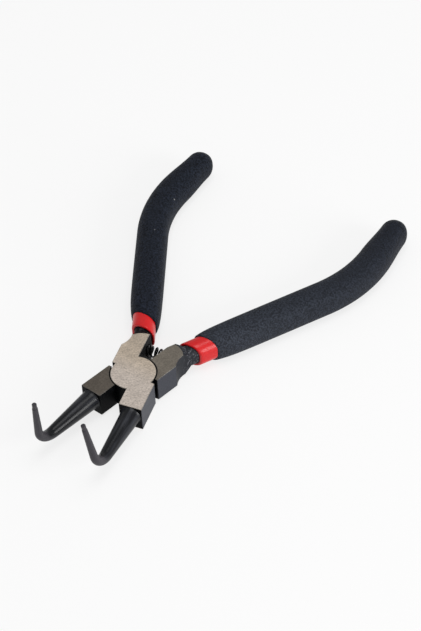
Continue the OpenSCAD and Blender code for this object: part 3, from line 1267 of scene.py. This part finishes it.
@dataclass
class OpeningSpring:
    """Coil spring between the handles, on a line that leaves both pockets straight and bends between them."""

    finish: Finish = SpringWire("spring_wire")
    wire_r: float = 0.35
    coil_r: float = 1.85
    turns: float = 9.5
    phase: float = 45.0
    level: float = HALF_HEAD
    distance: float = 16.8
    half_gap: float = 0.45
    pocket: float = 3.2
    seat: float = 0.1
    open_angle: float = OPEN_ANGLE
    steps: int = 36
    sides: int = 12

    @property
    def lean(self) -> float:
        """Returns the angle, in radians, that each pocket leans by."""
        return math.radians(self.open_angle)

    @property
    def bend_r(self) -> float:
        """Returns the radius of the line between the pockets' mouths."""
        mouth = self.half_gap * math.cos(self.lean) + self.distance * math.sin(self.lean)
        return mouth / math.sin(self.lean)

    def build(self) -> bpy.types.Object:
        """Builds the wire in its place between the two levers.

        Returns:
            The spring.
        """
        piece = Skin.tube(self._rings() * MM).piece("opening_spring")
        dress(piece, "spring_steel", self.finish)
        points = pulled(piece.data.vertices, "co", 3)
        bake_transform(piece)
        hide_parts("return_spring")
        LOG.info("%s: %d faces, between both levers", piece.name, len(piece.data.polygons))
        return piece

    def _line(self, along: np.ndarray) -> tuple[np.ndarray, np.ndarray]:
        """Follows the coil's middle line, an arc with a straight end in each pocket.

        Args:
            along: Distances from the line's middle.

        Returns:
            The points of the line, and its turn in the head's plane at each.
        """
        lean, radius = self.lean, self.bend_r
        mouth_y = self.distance * math.cos(lean) - self.half_gap * math.sin(lean)
        turn = -np.clip(along / radius, -lean, lean)
        over = np.sign(along) * np.maximum(np.abs(along) - radius * lean, 0)
        x = -radius * np.sin(turn) + over * np.cos(turn)
        y = mouth_y + radius * (np.cos(turn) - math.cos(lean)) + over * np.sin(turn)
        return np.stack([x, y, np.full_like(x, self.level)], -1), turn

    def _rings(self) -> np.ndarray:
        """Carries the wire's circle along a helix whose first and last turns are closed up.

        Returns:
            Rings of points in millimetres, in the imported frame.
        """
        length = 2 * self.bend_r * self.lean + 2 * (self.pocket - self.seat - self.wire_r)
        turns = np.linspace(0, self.turns, int(self.turns * self.steps) + 1)
        closed = 2 * self.wire_r
        active = (length - 2 * closed) / (self.turns - 2)
        knots = [0, closed, closed + active * (self.turns - 2), length]
        along = np.interp(turns, [0, 1, self.turns - 1, self.turns], knots)
        line, turn = self._line(along - length / 2)
        spin = math.radians(self.phase) + 2 * math.pi * turns
        radial = np.stack([-np.cos(spin) * np.sin(turn), np.cos(spin) * np.cos(turn), np.sin(spin)], -1)
        wire = line + self.coil_r * radial
        side = np.cross(np.gradient(wire, axis=0), radial)
        side /= np.linalg.norm(side, axis=1, keepdims=True)
        angle = circle(self.sides)[None, :, None]
        return wire[:, None] + self.wire_r * (np.cos(angle) * radial[:, None] + np.sin(angle) * side[:, None])


@dataclass
class Rivet:
    """Countersunk pivot rivet, ground off flush with the head."""

    finish: Finish

    def build(self, frame: dict[str, Any]) -> bpy.types.Object:
        """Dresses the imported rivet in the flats' finish.


        Returns:
            The rivet.
        """
        piece = frame["nodes"]["pivot_rivet"]
        for slot in piece.material_slots:
            slot.material = self.finish.material()
        LOG.info("%s: packed shape kept", piece.name)
        return piece


@dataclass(frozen=True)
class StudioFloor(Finish):
    """Pale floor that shows white to the camera and in reflections, with the object's soft shadow."""

    pale: float = 0.92
    glow: float = 0.75

    def draw(self, board: Board) -> Wire:
        """Mixes a pale matt floor with white for camera, glossy and transmission rays, clear from below.

        Args:
            board: The material's nodes.

        Returns:
            The shader.
        """
        seen = board.node("ShaderNodeLightPath", out="Is Camera Ray")
        for ray in ("Is Glossy Ray", "Is Transmission Ray"):
            seen = seen.most(board.node("ShaderNodeLightPath", out=ray))
        matt = board.node("ShaderNodeBsdfDiffuse", None, {"Color": (self.pale, self.pale, self.pale, 1.0)})
        white = board.node("ShaderNodeEmission", None, {"Color": WHITE, "Strength": 1.0})
        lit = board.node("ShaderNodeMixShader", None, {0: seen * self.glow, 1: matt, 2: white})
        below = board.node("ShaderNodeNewGeometry", out="Backfacing")
        clear = board.node("ShaderNodeBsdfTransparent")
        return board.node("ShaderNodeMixShader", None, {0: below, 1: lit, 2: clear})


@dataclass(frozen=True)
class Lamp:
    """A square lamp: its place and size in metres, and its power in watts."""

    name: str
    at: Point
    size: float
    power: float

    def hang(self, target: Point) -> None:
        """Hangs the lamp.

        Args:
            target: The point that it faces.
        """
        data = bpy.data.lights.new(self.name, "AREA")
        data.size = self.size
        data.energy = self.power
        lamp = placed(self.name, data)
        lamp.location = self.at
        lamp.rotation_euler = (Vector(target) - Vector(self.at)).to_track_quat("-Z", "Y").to_euler()


@dataclass
class Studio:
    """White studio: floor, soft lamps, sky and the camera, whose place is in millimetres."""

    camera_at: Point = (292.794, -390.803, 493.244)
    camera_way: Point = (-0.40196603, 0.60866238, -0.68407121)
    camera_right: Point = (0.85323651, 0.5200931, -0.03860853)
    lens: float = 108.4
    sensor: float = 36.0
    clip: Span = (0.01, 20.0)
    sky_low: float = 0.6
    sky_high: float = 0.45
    sky_span: Span = (0.0, 0.8)
    floor: Finish = StudioFloor("studio_floor")
    floor_reach: float = 6.0
    lit_point: Point = (0.0, 0.03, 0.0)
    lamps: tuple[Lamp, ...] = (
        Lamp("key", (0.98, 0.06, 0.3), 0.5, 6.0),
        Lamp("top", (0.1, 0.1, 1.05), 0.6, 3.6),
    )

    def build(self, low: float) -> None:
        """Builds the studio.

        Args:
            low: The floor's height in metres.
        """
        self._camera()
        self._sky()
        self._floor(low)
        for lamp in self.lamps:
            lamp.hang(self.lit_point)
        bpy.context.scene.view_settings.view_transform = "Standard"

    def _camera(self) -> None:
        """Places the camera where the photograph was taken from."""
        data = bpy.data.cameras.new("camera")
        data.lens = self.lens
        data.sensor_width = self.sensor
        data.sensor_fit = "AUTO"
        data.clip_start, data.clip_end = self.clip
        camera = placed("camera", data)
        way, right = Vector(self.camera_way).normalized(), Vector(self.camera_right).normalized()
        turned = Matrix((right, right.cross(way), -way)).transposed()
        camera.matrix_world = Matrix.Translation(Vector(self.camera_at) * MM) @ turned.to_4x4()
        bpy.context.scene.camera = camera

    def _sky(self) -> None:
        """Lights the studio with a tent that is white at its foot and dimmer overhead."""
        world = bpy.data.worlds.new("studio_sky")
        world.use_nodes = True
        board = Board(world.node_tree)
        height = board.part(board.node("ShaderNodeTexCoord", out="Generated"), "Z")
        level = self.sky_low + (self.sky_high - self.sky_low) * height.step(*self.sky_span)
        sky = board.node("ShaderNodeBackground", None, {"Color": WHITE, "Strength": level})
        board.node("ShaderNodeOutputWorld", None, {"Surface": sky})
        bpy.context.scene.world = world

    def _floor(self, low: float) -> None:
        """Lays a wide square floor.

        Args:
            low: Its height in metres.
        """
        far = self.floor_reach
        mesh = bpy.data.meshes.new("floor")
        corners = [(-far, -far, low), (far, -far, low), (far, far, low), (-far, far, low)]
        mesh.from_pydata(corners, [], [(0, 1, 2, 3)])
        mesh.materials.append(self.floor.material())
        floor = placed("floor", mesh)
        floor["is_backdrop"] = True


@dataclass(frozen=True)
class LeverLook:
    """The finishes of one lever's ground faces, broken edges and neck, and of its grip."""

    flat: Finish
    edge: Finish
    neck: Finish
    foam: Finish


def lever_looks() -> dict[Hand, LeverLook]:
    """Chooses the finishes of the bright upper lever and the brown lower one.

    Returns:
        A look for each lever.
    """
    bright = GroundSteel("bright_flat")
    brown = GroundSteel("brown_flat", (102, 95, 87), (128, 121, 111), line_turn=20.0, pits=0.3)
    corner = ForgedSteel("dark_corner", (40, 41, 46), (80, 80, 84), metal=0.3, shine=0.15)
    # the bright bevel rims are partly worn ground steel, partly a painted edge highlight
    worn = GroundSteel("worn_rim", (172, 164, 154), (172, 164, 154), pits=0.42, gloss=0.35)
    dull = GroundSteel("dull_rim", (98, 94, 90), (110, 106, 101), pits=0.42, gloss=0.35)
    # painted light and shade: the upper neck is a near-black shaded copy and the lower a lighter lit copy of
    # one forged finish; the lower's pale patches are partly real scale wear, partly painted sheen
    shaded = ForgedSteel("sooty_neck", (12, 13, 16), (70, 70, 74), wear=0.5, gloss=0.5, relief=0.0001)
    scaled = ForgedSteel(
        "scaled_neck",
        (39, 41, 46),
        (132, 133, 140),
        wear=0.68,
        gloss=0.45,
        shine=0.12,
        relief=0.0001,
        patch_waves=1100.0,
        worn_from=0.0145,
    )
    # painted light: the right grip's lighter near tone, fading along the grip, stands for the key light's
    # sheen and fall-off on a foam as dark as the left
    black = FoamDip("black_foam_dip", (24, 28, 37), (25, 29, 37), gains=(0.35, 2.1), shine=0.08)
    keylit = FoamDip("dusty_foam_dip", (47, 51, 59), (23, 27, 36), gains=(0.55, 1.6), shine=0.12)
    return {
        Hand.UPPER: LeverLook(bright, BrokenEdge("worn_edge", worn, corner), shaded, black),
        Hand.LOWER: LeverLook(brown, BrokenEdge("dull_edge", dull, corner), scaled, keylit),
    }


def main() -> None:
    """Builds the pliers and their studio in order."""
    logging.basicConfig(level=logging.INFO, format="%(name)s: %(message)s")
    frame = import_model()
    cad_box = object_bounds()
    looks = lever_looks()
    for hand, look in looks.items():
        pose = Pose(hand)
        LeverHead(pose, look.flat, look.edge, look.neck).build(frame)
        BentJaw(pose).build()
        DippedHandle(pose, look.foam).build()
    OpeningSpring().build()
    Rivet(looks[Hand.UPPER].flat).build(frame)
    Studio().build(cad_box[0].z)


if __name__ == "__main__":
    main()
